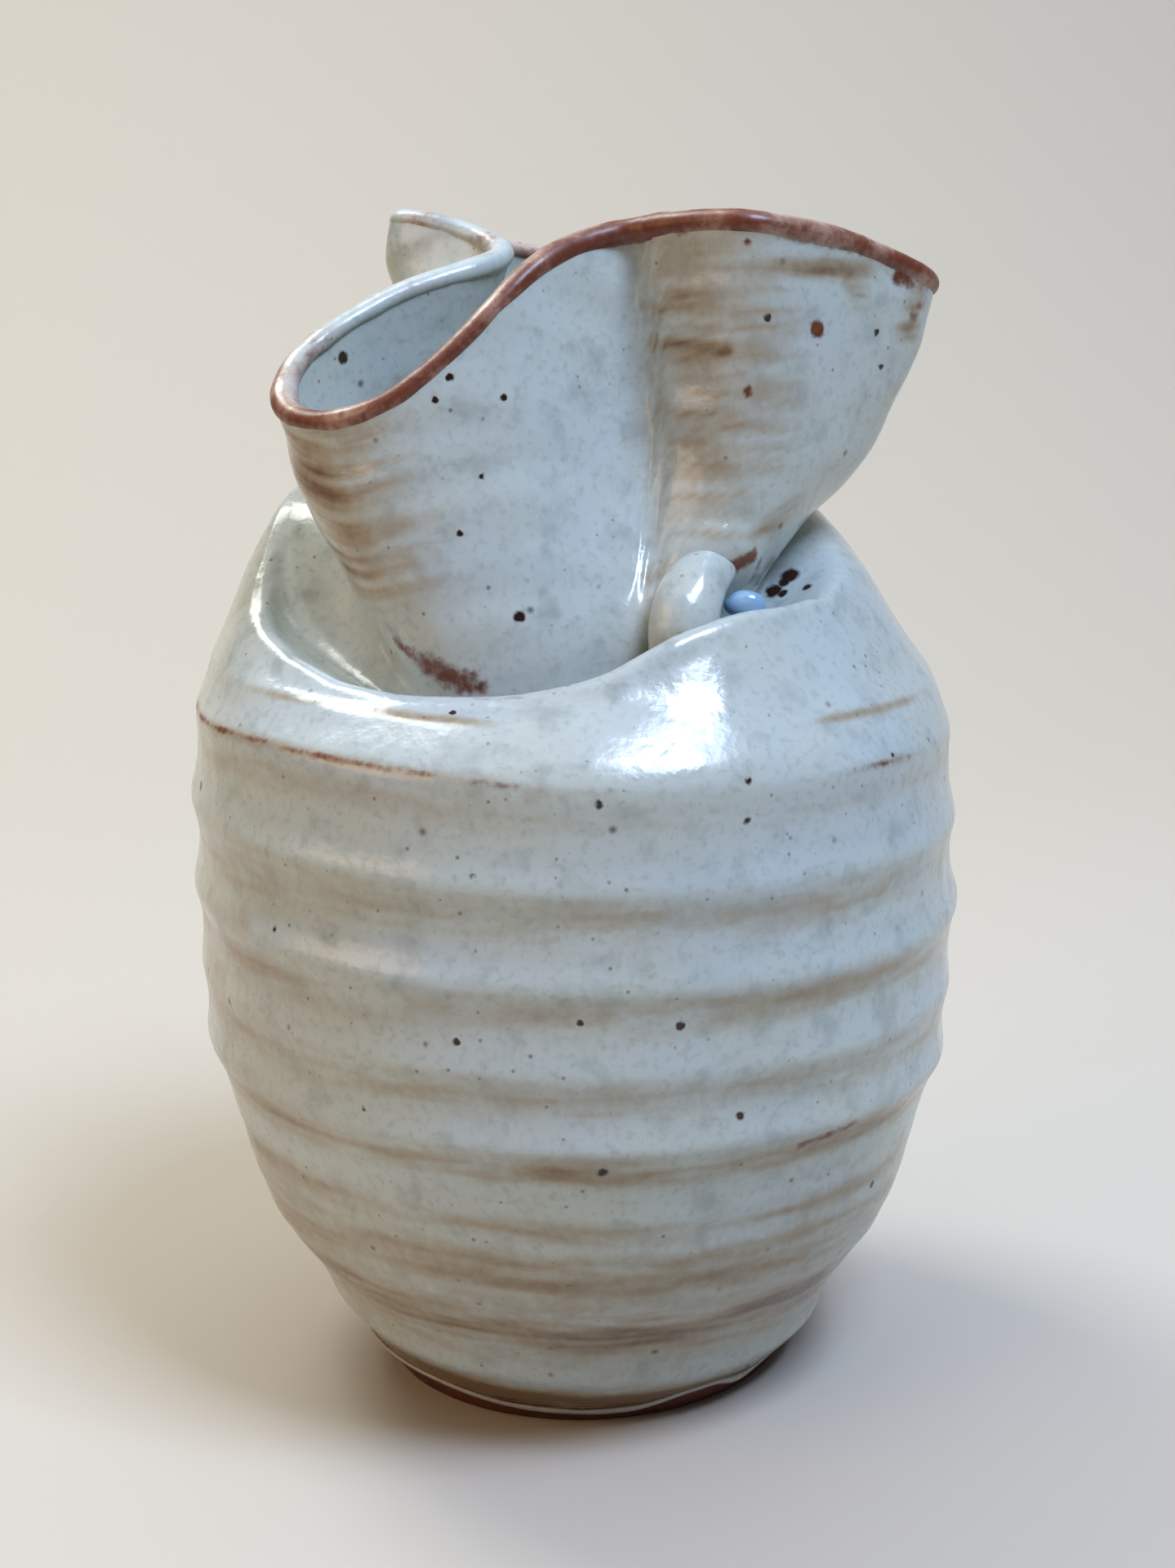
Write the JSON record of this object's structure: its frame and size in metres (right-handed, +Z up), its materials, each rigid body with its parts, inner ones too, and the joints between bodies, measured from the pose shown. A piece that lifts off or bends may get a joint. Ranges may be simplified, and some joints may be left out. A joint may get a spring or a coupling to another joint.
{
  "type": "vase",
  "caption": "Wheel-thrown glazed stoneware vase: ribbed barrel on a bare clay foot, creased shoulder, and a wide neck folded into lobes.",
  "frame": {"origin": "centre of the pot's bounding box at the surface it stands on, which is also the wheel's axis at the foot", "axes": "+Z up along the wheel's axis; -Y is the creased front; +X is the side the largest lobe of the neck points to"},
  "size_m": [0.1156, 0.1156, 0.1777],
  "materials": {
    "bare_stoneware": "unglazed, matt, fired red-brown",
    "glazed_stoneware": "glossy grey-white glaze with iron specks",
    "iron_lip": "thin glossy glaze that breaks to rust brown",
    "pooled_glaze": "thick glassy blue-grey glaze"
  },
  "bodies": {
    "root": {"foot_ring": "bare_stoneware", "floor_disc": "bare_stoneware", "glaze_hem": "glazed_stoneware", "barrel_wall": "glazed_stoneware", "shoulder": "glazed_stoneware", "folded_neck": "glazed_stoneware", "rim_bead": "iron_lip", "pinched_tuck": "glazed_stoneware", "glaze_pool": "pooled_glaze"}
  },
  "joints": []
}
